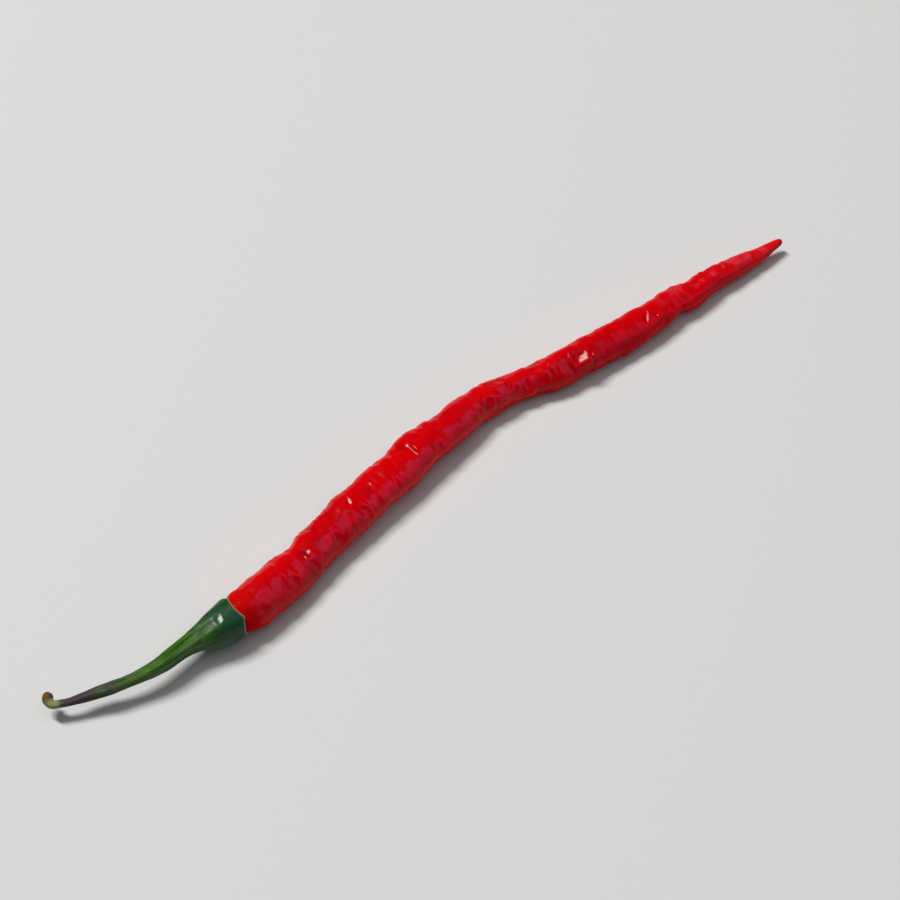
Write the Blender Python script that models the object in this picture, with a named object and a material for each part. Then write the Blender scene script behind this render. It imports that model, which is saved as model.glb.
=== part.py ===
"""A long, thin, curly red chilli pepper lying on its side, with its green calyx and stalk.

Metres, +Z up. +X runs from the stalk to the tip of the pod. The origin is on the surface that the
pepper lies on, under the middle of its box. Both pieces are skinned round one middle line.
"""

import math

import bmesh
import bpy
import numpy as np
from mathutils import Vector, noise

MM = 0.001

# The middle line of the whole pepper, from the cut end of the stalk to the tip (x, y, z in mm)
STALK_PATH = (
    (-99.6, 5.2, 5.4),
    (-100.8, 4.7, 5.0),
    (-100.8, 3.4, 4.7),
    (-99.2, 2.3, 4.6),
    (-93.6, 0.0, 5.1),
    (-86.9, -2.4, 5.7),
    (-80.5, -3.8, 6.1),
    (-71.5, -3.7, 6.1),
    (-62.0, -4.2, 5.6),
)
POD_PATH = (
    (-46.0, -3.0, 4.5),
    (-33.0, -0.8, 4.3),
    (-19.0, 1.5, 4.3),
    (-5.0, 3.3, 4.4),
    (5.0, 4.2, 4.4),
    (15.0, 5.0, 4.1),
    (25.0, 4.0, 4.0),
    (34.0, 1.6, 3.9),
    (44.0, 0.4, 3.7),
    (56.0, -0.8, 3.7),
    (70.0, -1.3, 3.6),
    (84.0, -1.9, 3.2),
    (97.0, -3.3, 3.0),
    (101.7, -3.6, 3.4),
)
RIM_X = -59.6

# Half thicknesses: distance along the middle line from the calyx rim, then radius (mm)
POD_RADII = (
    (-2.4, 3.0),
    (-1.2, 3.6),
    (0.0, 4.15),
    (1.0, 4.45),
    (2.4, 4.75),
    (5.0, 5.0),
    (10.0, 5.0),
    (18.0, 4.65),
    (28.0, 4.55),
    (38.0, 4.75),
    (57.0, 4.75),
    (67.0, 4.1),
    (77.0, 3.85),
    (86.0, 3.45),
    (96.0, 4.0),
    (108.0, 4.05),
    (120.0, 3.7),
    (130.0, 3.2),
    (140.0, 2.9),
    (150.0, 2.4),
    (157.0, 1.6),
    (160.5, 1.1),
    (162.1, 0.8),
    (162.8, 0.45),
)
STALK_RADII = (
    (-45.5, 0.35),
    (-45.3, 0.75),
    (-44.9, 1.02),
    (-44.2, 1.15),
    (-43.3, 1.05),
    (-42.2, 0.88),
    (-40.0, 0.8),
    (-34.5, 1.1),
    (-31.0, 1.3),
    (-27.0, 1.25),
    (-21.0, 1.6),
    (-17.5, 1.85),
    (-11.8, 2.15),
    (-8.2, 3.0),
    (-5.2, 3.9),
    (-2.7, 4.35),
    (-0.5, 4.6),
)

# Pod skin: swellings and waists (mm along, degrees round from the top, mm out or in, mm long)
KNUCKLES = (
    (18.0, 64, -0.40, 3.0),
    (18.0, -116, 0.35, 3.0),
    (24.0, -116, -0.30, 3.0),
    (28.0, -50, -0.28, 1.6),
    (34.0, 64, 0.25, 3.0),
    (42.0, 64, -0.25, 3.0),
    (36.5, -45, -0.22, 1.8),
    (50.5, 64, -0.40, 3.0),
    (50.5, -116, 0.35, 3.0),
    (53.5, -10, -0.12, 1.8),
    (57.5, 40, 0.35, 2.6),
    (59.5, -116, -0.35, 3.0),
    (69.0, -116, 0.35, 3.0),
    (76.5, -45, -0.25, 1.8),
    (79.0, 64, 0.25, 3.0),
    (85.0, 64, -0.30, 3.0),
    (92.0, -40, -0.20, 2.6),
    (99.0, -10, 0.20, 2.2),
    (103.0, -116, -0.35, 3.0),
    (112.0, 0, -0.15, 2.4),
    (117.0, -116, 0.20, 3.0),
    (124.0, -30, 0.25, 2.4),
    (129.0, -116, -0.35, 3.0),
    (129.5, 64, 0.30, 3.0),
    (135.0, -116, 0.50, 3.0),
    (136.5, 64, -0.45, 3.0),
    (143.0, -30, -0.35, 2.4),
    (148.0, 150, -0.30, 3.0),
    (153.5, -60, -0.25, 1.8),
)
KNUCKLE_SPREAD = math.radians(62)
LOBES = 3
LOBE_HEIGHT = 0.035
LOBE_TWIST = math.radians(1.3)
FULL_RELIEF_RADIUS = 3.0

# Pod skin: creases on the side that is seen most (mm along, degrees round from the top, mm deep,
# half length in mm, half reach in degrees, mm that the crease leans in each radian)
CHOSEN_CREASES = (
    (3.6, -38, 0.05, 0.40, 20, 0.2),
    (6.2, -36, 0.06, 0.45, 22, 0.3),
    (8.0, -40, 0.05, 0.40, 24, 0.2),
    (11.2, -36, 0.07, 0.50, 24, -0.3),
    (13.6, -48, 0.18, 0.55, 28, -0.6),
    (18.1, -58, 0.22, 0.80, 26, 0.3),
    (19.5, -12, 0.20, 0.60, 14, 0.4),
    (22.2, -48, 0.14, 0.60, 24, 0.3),
    (27.4, -45, 0.24, 0.75, 28, 0.4),
    (30.2, -12, 0.08, 0.60, 18, 0.5),
    (34.9, 6, 0.20, 0.60, 15, 2.4),
    (36.4, -45, 0.16, 0.65, 26, -0.3),
    (38.2, -38, 0.10, 0.50, 22, 0.3),
    (43.2, -36, 0.08, 0.55, 22, -0.4),
    (46.4, -42, 0.09, 0.60, 22, 0.4),
    (53.7, 0, 0.34, 0.90, 30, 0.2),
    (60.8, -58, 0.12, 0.70, 22, -0.4),
    (65.0, -62, 0.10, 0.60, 20, 0.4),
    (69.8, -25, 0.08, 0.60, 22, -0.8),
    (75.4, -42, 0.16, 0.60, 30, -1.2),
    (78.6, -56, 0.16, 0.60, 26, 0.6),
    (83.0, -18, 0.22, 0.60, 22, -0.5),
    (87.6, -45, 0.14, 0.60, 34, -0.6),
    (90.2, -48, 0.12, 0.60, 30, 0.4),
    (93.6, -42, 0.13, 0.60, 30, -0.4),
    (98.4, 0, 0.16, 0.60, 24, 2.6),
    (98.0, -48, 0.28, 0.60, 28, -1.0),
    (103.6, -40, -0.45, 2.20, 28, 0.0),
    (116.4, -30, 0.07, 0.50, 14, 0.4),
    (119.8, -18, 0.20, 0.60, 22, 1.6),
    (122.4, -28, 0.12, 0.50, 12, 0.4),
    (127.0, 5, 0.12, 0.60, 24, 0.6),
    (131.6, 8, 0.20, 0.60, 26, -0.5),
    (136.0, 5, 0.14, 0.60, 26, 0.6),
    (138.4, -10, 0.12, 0.60, 24, -0.5),
    (144.4, 0, 0.18, 0.60, 30, 0.5),
    (150.5, -15, 0.12, 0.60, 26, -0.6),
    (155.0, -10, 0.12, 0.55, 30, 0.5),
)

# Pod skin: the creases on the far side, drawn at random with a fixed seed
CREASE_SEED = 11
CREASES_START = 6.0
CREASES_STOP = 159.0
CREASE_COUNT = 80
FAR_SIDE = (75, 235)
CREASE_DEPTHS = (0.12, 0.35)
CREASE_LENGTHS = (0.6, 1.2)
CREASE_REACHES = (20, 50)
CREASE_SLANT = 1.1

# Pod skin: folds and facets from noise (mm high, mm long, wide in radii, place in the noise), the
# patches where the folds are strong, and the side along which the skin is drawn smoother
FOLDS = (0.23, 1.15, 0.9, 44.7)
FACETS = (0.36, 3.6, 0.8, 27.4)
PATCHES = (1.6, 7.0, 1.2, 61.0)
PATCH_MIDDLE = 0.75
PATCH_LEAST = 0.3
TAUT_SIDE = math.radians(14)
TAUT_REACH = math.radians(32)
TAUTNESS = 0.6

# Small flats where the skin is drawn tight (mm along, degrees round from the top, half length in mm,
# half reach in degrees, mm deep, degrees that it faces the stalk, degrees round that it faces,
# mm that it leans in each radian)
TIGHT_FLATS = (
    (9.4, -20, 1.30, 14, 0.05, 0, -28, 0.2),
    (14.2, -50, 0.80, 24, 0.10, 11, -50, -0.4),
    (16.3, -18, 1.40, 16, 0.05, 0, -27, 0.3),
    (19.0, -19, 0.35, 7, 0.10, 17, 3, 0.0),
    (20.0, -52, 1.70, 22, 0.14, 9, -50, 0.6),
    (20.4, -13, 0.55, 8, 0.16, 17, 3, 0.0),
    (24.6, -20, 2.00, 15, 0.04, 0, -28, 0.4),
    (28.3, -50, 1.00, 24, 0.12, 10, -50, 0.6),
    (31.6, -18, 1.90, 17, 0.05, -2, -28, 0.5),
    (35.5, 8, 0.45, 14, 0.16, 17, 3, 3.6),
    (37.2, -45, 0.70, 20, 0.12, 12, -44, -0.3),
    (54.5, 0, 0.42, 30, 0.40, 18, 2, 0.2),
    (60.4, -50, 1.60, 20, 0.07, 8, -50, -0.6),
    (69.5, -26, 2.00, 14, 0.04, 0, -32, 0.5),
    (73.0, -22, 1.50, 14, 0.04, 0, -29, 1.2),
    (76.8, -44, 1.00, 22, 0.10, 10, -44, -1.2),
    (81.0, -17, 2.00, 17, 0.05, -2, -27, -0.5),
    (83.2, -22, 0.50, 18, 0.12, 12, -22, -0.5),
    (88.0, -50, 0.60, 26, 0.14, 12, -48, -0.6),
    (93.8, -46, 0.60, 24, 0.14, 12, -44, -0.4),
    (101.5, -29, 2.10, 23, 0.18, 22.5, -2, 0.8),
    (104.0, -35, 0.45, 9, 0.12, 22, -1, 0.0),
    (120.5, -20, 0.48, 20, 0.16, 23, 0, 1.6),
    (123.0, -30, 0.45, 9, 0.12, 23, 0, 0.0),
)
CALYX_FLATS = (
    (-4.5, -10, 0.80, 14, 0.06, 18.6, 0, 0.0),
)
LEAST_COSINE = 0.2

# Calyx and stalk: five ribs that end as teeth on the rim, and the shrivelled stretch near the cut
TEETH = 5
TOOTH_LENGTH = 0.8
TOOTH_TURN = math.radians(-40)
TOOTH_REACH = 4.0
RIB_HEIGHTS = ((-45.5, 0.02), (-41.0, 0.08), (-33.0, 0.13), (-25.0, 0.06), (-10.0, 0.09),
               (-6.0, 0.05), (-0.5, 0.015))
CREASED_STALK = (-41.0, -28.0)
CREASED_HEIGHT = 0.14
CREASED_LOBES = 3
CREASED_TWIST = 0.35
RIM_THICKNESS = 0.5
RIM_GAP = 0.3
SOCKET_RINGS = (-0.05, -0.6, -1.5, -2.1, -2.75)

# Mesh: sides round each piece and the step between rings (mm)
POD_SIDES = 26
POD_STEP = 0.8
STALK_SIDES = 32
STALK_STEP = 0.8
TIP_RING = 162.45
KNOB_RINGS = (-45.3, -45.0)
TIP_DOME = 0.12
LINE_STEP = 0.05

# Finishes: colour, roughness and coat
RED_SKIN = ((0.56, 0.004, 0.008), 0.3, 0.4)
GREEN_SKIN = ((0.022, 0.085, 0.012), 0.4, 0.2)


def smooth_through(knots, values, at):
    """Cubic curve through the values at the knots, read at each place in at."""
    knots = np.asarray(knots, float)
    values = np.asarray(values, float)
    slopes = np.gradient(values, knots, axis=0)
    at = np.clip(at, knots[0], knots[-1])
    left = np.clip(np.searchsorted(knots, at, side="right") - 1, 0, len(knots) - 2)
    span = knots[left + 1] - knots[left]
    t = (at - knots[left]) / span
    if values.ndim > 1:
        t = t[..., None]
        span = span[..., None]
    start = (2 * t**3 - 3 * t**2 + 1) * values[left] + (t**3 - 2 * t**2 + t) * span * slopes[left]
    end = (3 * t**2 - 2 * t**3) * values[left + 1] + (t**3 - t**2) * span * slopes[left + 1]
    return start + end


def through_pairs(pairs, at):
    """The smooth curve through (place, value) pairs."""
    places, values = zip(*pairs)
    return smooth_through(places, values, at)


class MiddleLine:
    """The pepper's middle line, measured in mm along it from the calyx rim, towards the tip."""

    def __init__(self, points):
        points = np.array(points, float)
        chords = np.linalg.norm(np.diff(points, axis=0), axis=1)
        knots = np.concatenate(([0.0], np.cumsum(chords)))
        reads = np.arange(0.0, knots[-1], LINE_STEP)
        self.places = smooth_through(knots, points, reads)
        steps = np.linalg.norm(np.diff(self.places, axis=0), axis=1)
        self.along = np.concatenate(([0.0], np.cumsum(steps)))
        self.along -= self.along[np.argmax(self.places[:, 0] > RIM_X)]

    def read(self, values, along):
        """Values held at the line's places, read at distances along it."""
        columns = [np.interp(along, self.along, column) for column in values.T]
        return np.stack(columns, axis=-1)

    def point(self, along, around, radius):
        """Point at a distance along, an angle round from the top, and a radius out."""
        forward = self.read(np.gradient(self.places, self.along, axis=0), along)
        forward /= np.linalg.norm(forward, axis=-1, keepdims=True)
        up = np.array([0.0, 0.0, 1.0]) - forward * forward[..., 2:]
        up /= np.linalg.norm(up, axis=-1, keepdims=True)
        left = np.cross(up, forward)
        out = np.cos(around)[..., None] * up + np.sin(around)[..., None] * left
        return self.read(self.places, along) + out * radius[..., None]


def turn_between(around, centre):
    """Angle from centre to around, the short way."""
    return (around - centre + math.pi) % (2 * math.pi) - math.pi


def knuckles(along, around):
    """Height of the swellings and waists that bend the pod's outline, in mm."""
    height = np.zeros_like(along)
    for place, degrees, swell, length in KNUCKLES:
        away = (along - place) / length
        turn = turn_between(around, math.radians(degrees)) / KNUCKLE_SPREAD
        height += swell * np.exp(-away**2 - turn**2)
    return height


def creases(along, around):
    """Depth of all the creases across the pod, in mm."""
    draw = np.random.default_rng(CREASE_SEED)
    rows = list(CHOSEN_CREASES)
    for place in np.linspace(CREASES_START, CREASES_STOP, CREASE_COUNT):
        centre = draw.uniform(*FAR_SIDE)
        deep = draw.uniform(*CREASE_DEPTHS)
        length = draw.uniform(*CREASE_LENGTHS)
        reach = draw.uniform(*CREASE_REACHES)
        rows.append((place, centre, deep, length, reach, draw.uniform(-CREASE_SLANT, CREASE_SLANT)))
    depth = np.zeros_like(along)
    for place, centre, deep, length, reach, slant in rows:
        turn = turn_between(around, math.radians(centre))
        away = (along - place - slant * turn) / length
        depth += deep * np.exp(-away**2 - (turn / math.radians(reach)) ** 2)
    return depth


def skin_noise(along, around, height, length, width, seed):
    """Smooth noise on the skin, with no seam."""
    east = np.cos(around) / width
    north = np.sin(around) / width
    spots = np.stack((along / length + seed, east, north), axis=-1)
    return height * np.array([noise.noise(Vector(spot)) for spot in spots])


def wrinkles(along, around):
    """Height of the folds and the soft facets of the skin, in mm."""
    patch = skin_noise(along, around, *PATCHES) + PATCH_MIDDLE
    patch = np.clip(patch, PATCH_LEAST, 1.0)
    taut = np.exp(-(turn_between(around, TAUT_SIDE) / TAUT_REACH) ** 2)
    folds = skin_noise(along, around, *FOLDS) * patch * (1 - TAUTNESS * taut)
    return folds + skin_noise(along, around, *FACETS)


def tighten(along, around, radius, flats):
    """Radius of a skin with small tight flats pressed into it, in mm."""
    for place, centre, length, reach, deep, facing, round_to, slant in flats:
        turn = turn_between(around, math.radians(centre))
        away = (along - place - slant * turn) / length
        share = np.exp(-away**4 - (turn / math.radians(reach)) ** 4)
        middle = np.sum(radius * share) / np.sum(share) - deep
        middle *= math.cos(math.radians(centre - round_to))
        rise = math.tan(math.radians(facing)) * (along - place)
        off = np.cos(turn_between(around, math.radians(round_to)))
        flat = (middle + rise) / np.maximum(off, LEAST_COSINE)
        radius = radius + (flat - radius) * share
    return radius


def pod_radius(along, around):
    """Radius of the pod's skin, in mm."""
    radius = through_pairs(POD_RADII, along)
    lobes = 1 + LOBE_HEIGHT * np.cos(LOBES * (around - LOBE_TWIST * along))
    relief = knuckles(along, around) - creases(along, around) + wrinkles(along, around)
    thick = np.clip(radius / FULL_RELIEF_RADIUS, 0.0, 1.0)
    return tighten(along, around, radius * lobes + relief * thick, TIGHT_FLATS)


def tooth(around):
    """From 0 between two calyx teeth to 1 at the point of a tooth."""
    return 1 - np.abs(np.sin(TEETH / 2 * (around - TOOTH_TURN)))


def stalk_radius(along, around):
    """Radius of the calyx and stalk outside, in mm, with their ribs and creases."""
    radius = through_pairs(STALK_RADII, along)
    ribs = through_pairs(RIB_HEIGHTS, along) * np.cos(TEETH * (around - TOOTH_TURN))
    start, end = CREASED_STALK
    inside = np.clip((along - start) / (end - start), 0.0, 1.0)
    shrivel = CREASED_HEIGHT * np.sin(math.pi * inside) ** 2
    shrivel = shrivel * np.cos(CREASED_LOBES * around + CREASED_TWIST * along)
    return tighten(along, around, radius * (1 + ribs + shrivel), CALYX_FLATS)


def straight_tube(rings, sides):
    """Open tube of unit radius with a ring at each whole step of z, to be shaped ring by ring."""
    mesh = bmesh.new()
    circle = bmesh.ops.create_circle(mesh, cap_ends=False, segments=sides, radius=1.0)
    edge = list({edge for vert in circle["verts"] for edge in vert.link_edges})
    for _ in range(rings - 1):
        made = bmesh.ops.extrude_edge_only(mesh, edges=edge)["geom"]
        edge = [item for item in made if isinstance(item, bmesh.types.BMEdge)]
        verts = [item for item in made if isinstance(item, bmesh.types.BMVert)]
        bmesh.ops.translate(mesh, vec=(0.0, 0.0, 1.0), verts=verts)
    return mesh


def close_ends(mesh, offset):
    """Closes both ends of a shaped tube with a fan round a centre raised by offset (mm)."""
    rims = [edge for edge in mesh.edges if edge.is_boundary]
    caps = bmesh.ops.holes_fill(mesh, edges=rims, sides=0)["faces"]
    bmesh.ops.poke(mesh, faces=caps, offset=offset * MM)


def add_object(name, mesh, material):
    """Finishes a closed bmesh as a named, smooth-shaded object."""
    bmesh.ops.triangulate(mesh, faces=mesh.faces)
    bmesh.ops.recalc_face_normals(mesh, faces=mesh.faces)
    data = bpy.data.meshes.new(name)
    mesh.to_mesh(data)
    mesh.free()
    data.shade_smooth()
    data.materials.append(material)
    piece = bpy.data.objects.new(name, data)
    bpy.context.scene.collection.objects.link(piece)
    return piece


def tube_readings(mesh):
    """Ring number and angle of every vertex of a straight tube."""
    spots = np.array([vert.co[:] for vert in mesh.verts], float)
    return np.rint(spots[:, 2]).astype(int), np.arctan2(spots[:, 1], spots[:, 0])


def place_verts(mesh, spots):
    """Moves every vertex of a mesh to its spot (mm), and none below the surface it lies on."""
    spots[:, 2] = np.maximum(spots[:, 2], 0.0)
    for vert, spot in zip(mesh.verts, spots):
        vert.co = spot * MM


def make_pod(line, material):
    """The red pod: one closed skin from the shoulder inside the calyx to the tip."""
    start, end = POD_RADII[0][0], POD_RADII[-1][0]
    middle = np.linspace(start, end, round((end - start) / POD_STEP))
    stations = np.sort(np.append(middle, TIP_RING))
    mesh = straight_tube(len(stations), POD_SIDES)
    ring, around = tube_readings(mesh)
    along = stations[ring]
    place_verts(mesh, line.point(along, around, pod_radius(along, around)))
    close_ends(mesh, TIP_DOME)
    return add_object("pod", mesh, material)


def make_calyx_stalk(line, material):
    """The green piece: cut end, stalk and ribbed calyx outside, then its rim and the socket."""
    start, end = STALK_RADII[0][0], STALK_RADII[-1][0]
    outside = np.linspace(start, end, round((end - start) / STALK_STEP))
    outside = np.sort(np.concatenate((outside, KNOB_RINGS)))
    stations = np.concatenate((outside, [0.0], SOCKET_RINGS))
    rim = len(outside)
    mesh = straight_tube(len(stations), STALK_SIDES)
    ring, around = tube_readings(mesh)
    along = stations[ring]
    outer = stalk_radius(along, around)
    neck = through_pairs(POD_RADII, along) + RIM_GAP
    radius = np.where(ring < rim, outer, neck)
    radius = np.where(ring == rim, neck + RIM_THICKNESS / 2, radius)
    near_rim = np.clip(1 + along / TOOTH_REACH, 0.0, 1.0)
    shift = TOOTH_LENGTH * (1 - tooth(around)) * near_rim**2
    shift = np.where(stations[ring] == SOCKET_RINGS[-1], 0.0, shift)
    place_verts(mesh, line.point(along - shift, around, radius))
    close_ends(mesh, 0.0)
    return add_object("calyx_stalk", mesh, material)


def make_material(name, colour, roughness, coat):
    """A plain glossy skin."""
    material = bpy.data.materials.new(name)
    material.use_nodes = True
    shader = material.node_tree.nodes["Principled BSDF"]
    shader.inputs["Base Color"].default_value = (*colour, 1.0)
    shader.inputs["Roughness"].default_value = roughness
    shader.inputs["Metallic"].default_value = 0.0
    shader.inputs["Coat Weight"].default_value = coat
    return material


def main():
    """Builds the pepper in an empty scene."""
    for old in list(bpy.data.objects):
        bpy.data.objects.remove(old)
    line = MiddleLine(STALK_PATH + POD_PATH)
    make_pod(line, make_material("red_skin", *RED_SKIN))
    make_calyx_stalk(line, make_material("green_skin", *GREEN_SKIN))


main()
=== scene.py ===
"""Looks of a long, thin, curly red chilli pepper with its green calyx and stalk.

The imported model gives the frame. The pod and the calyx with its stalk are made again as finer skins
round the same middle line, with the fine wrinkles, ribs and finishes that the solids leave out.
Lengths are in millimetres until a point is placed, and the scene itself is in metres.
"""

import logging
import math
from dataclasses import dataclass, field
from enum import Enum
from typing import Sequence, Union

import bmesh
import bpy
import numpy as np
from mathutils import Euler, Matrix, Quaternion, Vector, noise


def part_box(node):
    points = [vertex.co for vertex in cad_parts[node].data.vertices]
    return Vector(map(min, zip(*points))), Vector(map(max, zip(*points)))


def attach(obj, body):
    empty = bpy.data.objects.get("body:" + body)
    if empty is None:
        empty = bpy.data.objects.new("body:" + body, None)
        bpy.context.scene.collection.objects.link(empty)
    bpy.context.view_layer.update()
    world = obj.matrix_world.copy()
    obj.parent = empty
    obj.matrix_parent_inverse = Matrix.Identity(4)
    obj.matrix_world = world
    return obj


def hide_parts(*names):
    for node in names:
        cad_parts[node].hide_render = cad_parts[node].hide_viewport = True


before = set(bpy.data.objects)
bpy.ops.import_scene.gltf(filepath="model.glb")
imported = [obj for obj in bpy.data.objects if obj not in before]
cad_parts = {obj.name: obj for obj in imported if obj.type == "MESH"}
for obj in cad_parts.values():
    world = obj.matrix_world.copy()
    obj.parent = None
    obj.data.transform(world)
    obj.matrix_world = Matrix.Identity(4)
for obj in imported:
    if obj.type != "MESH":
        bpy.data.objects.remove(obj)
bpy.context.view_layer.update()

LOG = logging.getLogger("chilli_pepper")
MM = 0.001

Number = Union[int, float]
Colour = tuple[float, float, float]
Point = tuple[float, float, float]
Span = tuple[float, float]
Knots = tuple[tuple[float, float], ...]

# The middle line of the whole pepper, from the cut end of the stalk to the tip (x, y, z in mm)
MIDDLE_POINTS = (
    (-99.6, 5.2, 5.4),
    (-100.8, 4.7, 5.0),
    (-100.8, 3.4, 4.7),
    (-99.2, 2.3, 4.6),
    (-93.6, 0.0, 5.1),
    (-86.9, -2.4, 5.7),
    (-80.5, -3.8, 6.1),
    (-71.5, -3.7, 6.1),
    (-62.0, -4.2, 5.6),
    (-46.0, -3.0, 4.5),
    (-33.0, -0.8, 4.3),
    (-19.0, 1.5, 4.3),
    (-5.0, 3.3, 4.4),
    (5.0, 4.2, 4.4),
    (15.0, 5.0, 4.1),
    (25.0, 4.0, 4.0),
    (34.0, 1.6, 3.9),
    (44.0, 0.4, 3.7),
    (56.0, -0.8, 3.7),
    (70.0, -1.3, 3.6),
    (84.0, -1.9, 3.2),
    (97.0, -3.3, 3.0),
    (101.7, -3.6, 3.4),
)

# Where the middle line passes the calyx rim (x in mm)
RIM_X = -59.6

# Half thicknesses of the pod: mm along the middle line from the calyx rim, then mm out
POD_RADII: Knots = (
    (-2.4, 3.0),
    (-1.2, 3.6),
    (0.0, 4.15),
    (1.0, 4.45),
    (2.4, 4.75),
    (5.0, 5.0),
    (10.0, 5.0),
    (18.0, 4.65),
    (28.0, 4.55),
    (38.0, 4.75),
    (57.0, 4.75),
    (67.0, 4.1),
    (77.0, 3.85),
    (86.0, 3.45),
    (96.0, 4.0),
    (108.0, 4.05),
    (120.0, 3.7),
    (130.0, 3.2),
    (140.0, 2.9),
    (150.0, 2.4),
    (157.0, 1.6),
    (160.5, 1.1),
    (162.1, 0.8),
    (162.8, 0.45),
)

# Swellings and waists of the pod: mm along, degrees round from the top, mm out or in, mm long
KNUCKLES = (
    (18.0, 64, -0.40, 3.0),
    (18.0, -116, 0.35, 3.0),
    (24.0, -116, -0.30, 3.0),
    (28.0, -50, -0.28, 1.6),
    (34.0, 64, 0.25, 3.0),
    (42.0, 64, -0.25, 3.0),
    (36.5, -45, -0.22, 1.8),
    (50.5, 64, -0.40, 3.0),
    (50.5, -116, 0.35, 3.0),
    (53.5, -10, -0.12, 1.8),
    (57.5, 40, 0.35, 2.6),
    (59.5, -116, -0.35, 3.0),
    (69.0, -116, 0.35, 3.0),
    (76.5, -45, -0.25, 1.8),
    (79.0, 64, 0.25, 3.0),
    (85.0, 64, -0.30, 3.0),
    (92.0, -40, -0.20, 2.6),
    (99.0, -10, 0.20, 2.2),
    (103.0, -116, -0.35, 3.0),
    (112.0, 0, -0.15, 2.4),
    (117.0, -116, 0.20, 3.0),
    (124.0, -30, 0.25, 2.4),
    (129.0, -116, -0.35, 3.0),
    (129.5, 64, 0.30, 3.0),
    (135.0, -116, 0.50, 3.0),
    (136.5, 64, -0.45, 3.0),
    (143.0, -30, -0.35, 2.4),
    (148.0, 150, -0.30, 3.0),
    (153.5, -60, -0.25, 1.8),
)

# Creases on the side that the photograph shows: mm along, degrees round from the top, mm deep,
# mm to each side along the pod, degrees to each side round it, mm that it leans in each radian
CHOSEN_CREASES = (
    (3.6, -38, 0.05, 0.40, 20, 0.2),
    (6.2, -36, 0.06, 0.45, 22, 0.3),
    (8.0, -40, 0.05, 0.40, 24, 0.2),
    (11.2, -36, 0.07, 0.50, 24, -0.3),
    (13.6, -48, 0.18, 0.55, 28, -0.6),
    (18.1, -58, 0.22, 0.80, 26, 0.3),
    (19.5, -12, 0.20, 0.60, 14, 0.4),
    (22.2, -48, 0.14, 0.60, 24, 0.3),
    (27.4, -45, 0.24, 0.75, 28, 0.4),
    (30.2, -12, 0.08, 0.60, 18, 0.5),
    (34.9, 6, 0.20, 0.60, 15, 2.4),
    (36.4, -45, 0.16, 0.65, 26, -0.3),
    (38.2, -38, 0.10, 0.50, 22, 0.3),
    (43.2, -36, 0.08, 0.55, 22, -0.4),
    (46.4, -42, 0.09, 0.60, 22, 0.4),
    (53.7, 0, 0.34, 0.90, 30, 0.2),
    (60.8, -58, 0.12, 0.70, 22, -0.4),
    (65.0, -62, 0.10, 0.60, 20, 0.4),
    (69.8, -25, 0.08, 0.60, 22, -0.8),
    (75.4, -42, 0.16, 0.60, 30, -1.2),
    (78.6, -56, 0.16, 0.60, 26, 0.6),
    (83.0, -18, 0.22, 0.60, 22, -0.5),
    (87.6, -45, 0.14, 0.60, 34, -0.6),
    (90.2, -48, 0.12, 0.60, 30, 0.4),
    (93.6, -42, 0.13, 0.60, 30, -0.4),
    (98.4, 0, 0.16, 0.60, 24, 2.6),
    (98.0, -48, 0.28, 0.60, 28, -1.0),
    (103.6, -40, -0.45, 2.20, 28, 0.0),
    (116.4, -30, 0.07, 0.50, 14, 0.4),
    (119.8, -18, 0.20, 0.60, 22, 1.6),
    (122.4, -28, 0.12, 0.50, 12, 0.4),
    (127.0, 5, 0.12, 0.60, 24, 0.6),
    (131.6, 8, 0.20, 0.60, 26, -0.5),
    (136.0, 5, 0.14, 0.60, 26, 0.6),
    (138.4, -10, 0.12, 0.60, 24, -0.5),
    (144.4, 0, 0.18, 0.60, 30, 0.5),
    (150.5, -15, 0.12, 0.60, 26, -0.6),
    (155.0, -10, 0.12, 0.55, 30, 0.5),
)

# Small flats where the skin is drawn tight: mm along, degrees round from the top, half length in mm,
# half reach in degrees, mm deep, degrees that the flat faces the stalk, degrees round that it faces,
# mm that it leans in each radian
TIGHT_FLATS = (
    (9.4, -20, 1.30, 14, 0.05, 0, -28, 0.2),
    (14.2, -50, 0.80, 24, 0.10, 11, -50, -0.4),
    (16.3, -18, 1.40, 16, 0.05, 0, -27, 0.3),
    (19.0, -19, 0.42, 9, 0.10, 17, 3, 0.0),
    (20.0, -52, 1.70, 22, 0.14, 9, -50, 0.6),
    (20.4, -13, 0.72, 11, 0.16, 17, 3, 0.0),
    (24.6, -20, 2.00, 15, 0.04, 0, -28, 0.4),
    (28.3, -50, 1.00, 24, 0.12, 10, -50, 0.6),
    (31.6, -18, 1.90, 17, 0.05, -2, -28, 0.5),
    (35.5, 8, 0.62, 16, 0.16, 17, 3, 3.0),
    (37.2, -45, 0.70, 20, 0.12, 12, -44, -0.3),
    (54.5, 0, 0.42, 30, 0.40, 18, 2, 0.2),
    (60.4, -50, 1.60, 20, 0.07, 8, -50, -0.6),
    (69.5, -26, 2.00, 14, 0.04, 0, -32, 0.5),
    (73.0, -22, 1.50, 14, 0.04, 0, -29, 1.2),
    (76.8, -44, 1.00, 22, 0.10, 10, -44, -1.2),
    (81.0, -17, 2.00, 17, 0.05, -2, -27, -0.5),
    (83.2, -22, 0.50, 18, 0.12, 12, -22, -0.5),
    (88.0, -50, 0.60, 26, 0.14, 12, -48, -0.6),
    (93.8, -46, 0.60, 24, 0.14, 12, -44, -0.4),
    (101.5, -29, 2.10, 23, 0.18, 22.5, -2, 0.8),
    (104.0, -35, 0.45, 9, 0.12, 22, -1, 0.0),
    (120.5, -20, 0.48, 20, 0.16, 23, 0, 1.6),
    (123.0, -30, 0.45, 9, 0.12, 23, 0, 0.0),
)

# The same for the calyx, where mm along count back from its rim
CALYX_FLATS = (
    (-4.5, -10, 0.80, 14, 0.06, 18.6, 0, 0.0),
)

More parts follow.
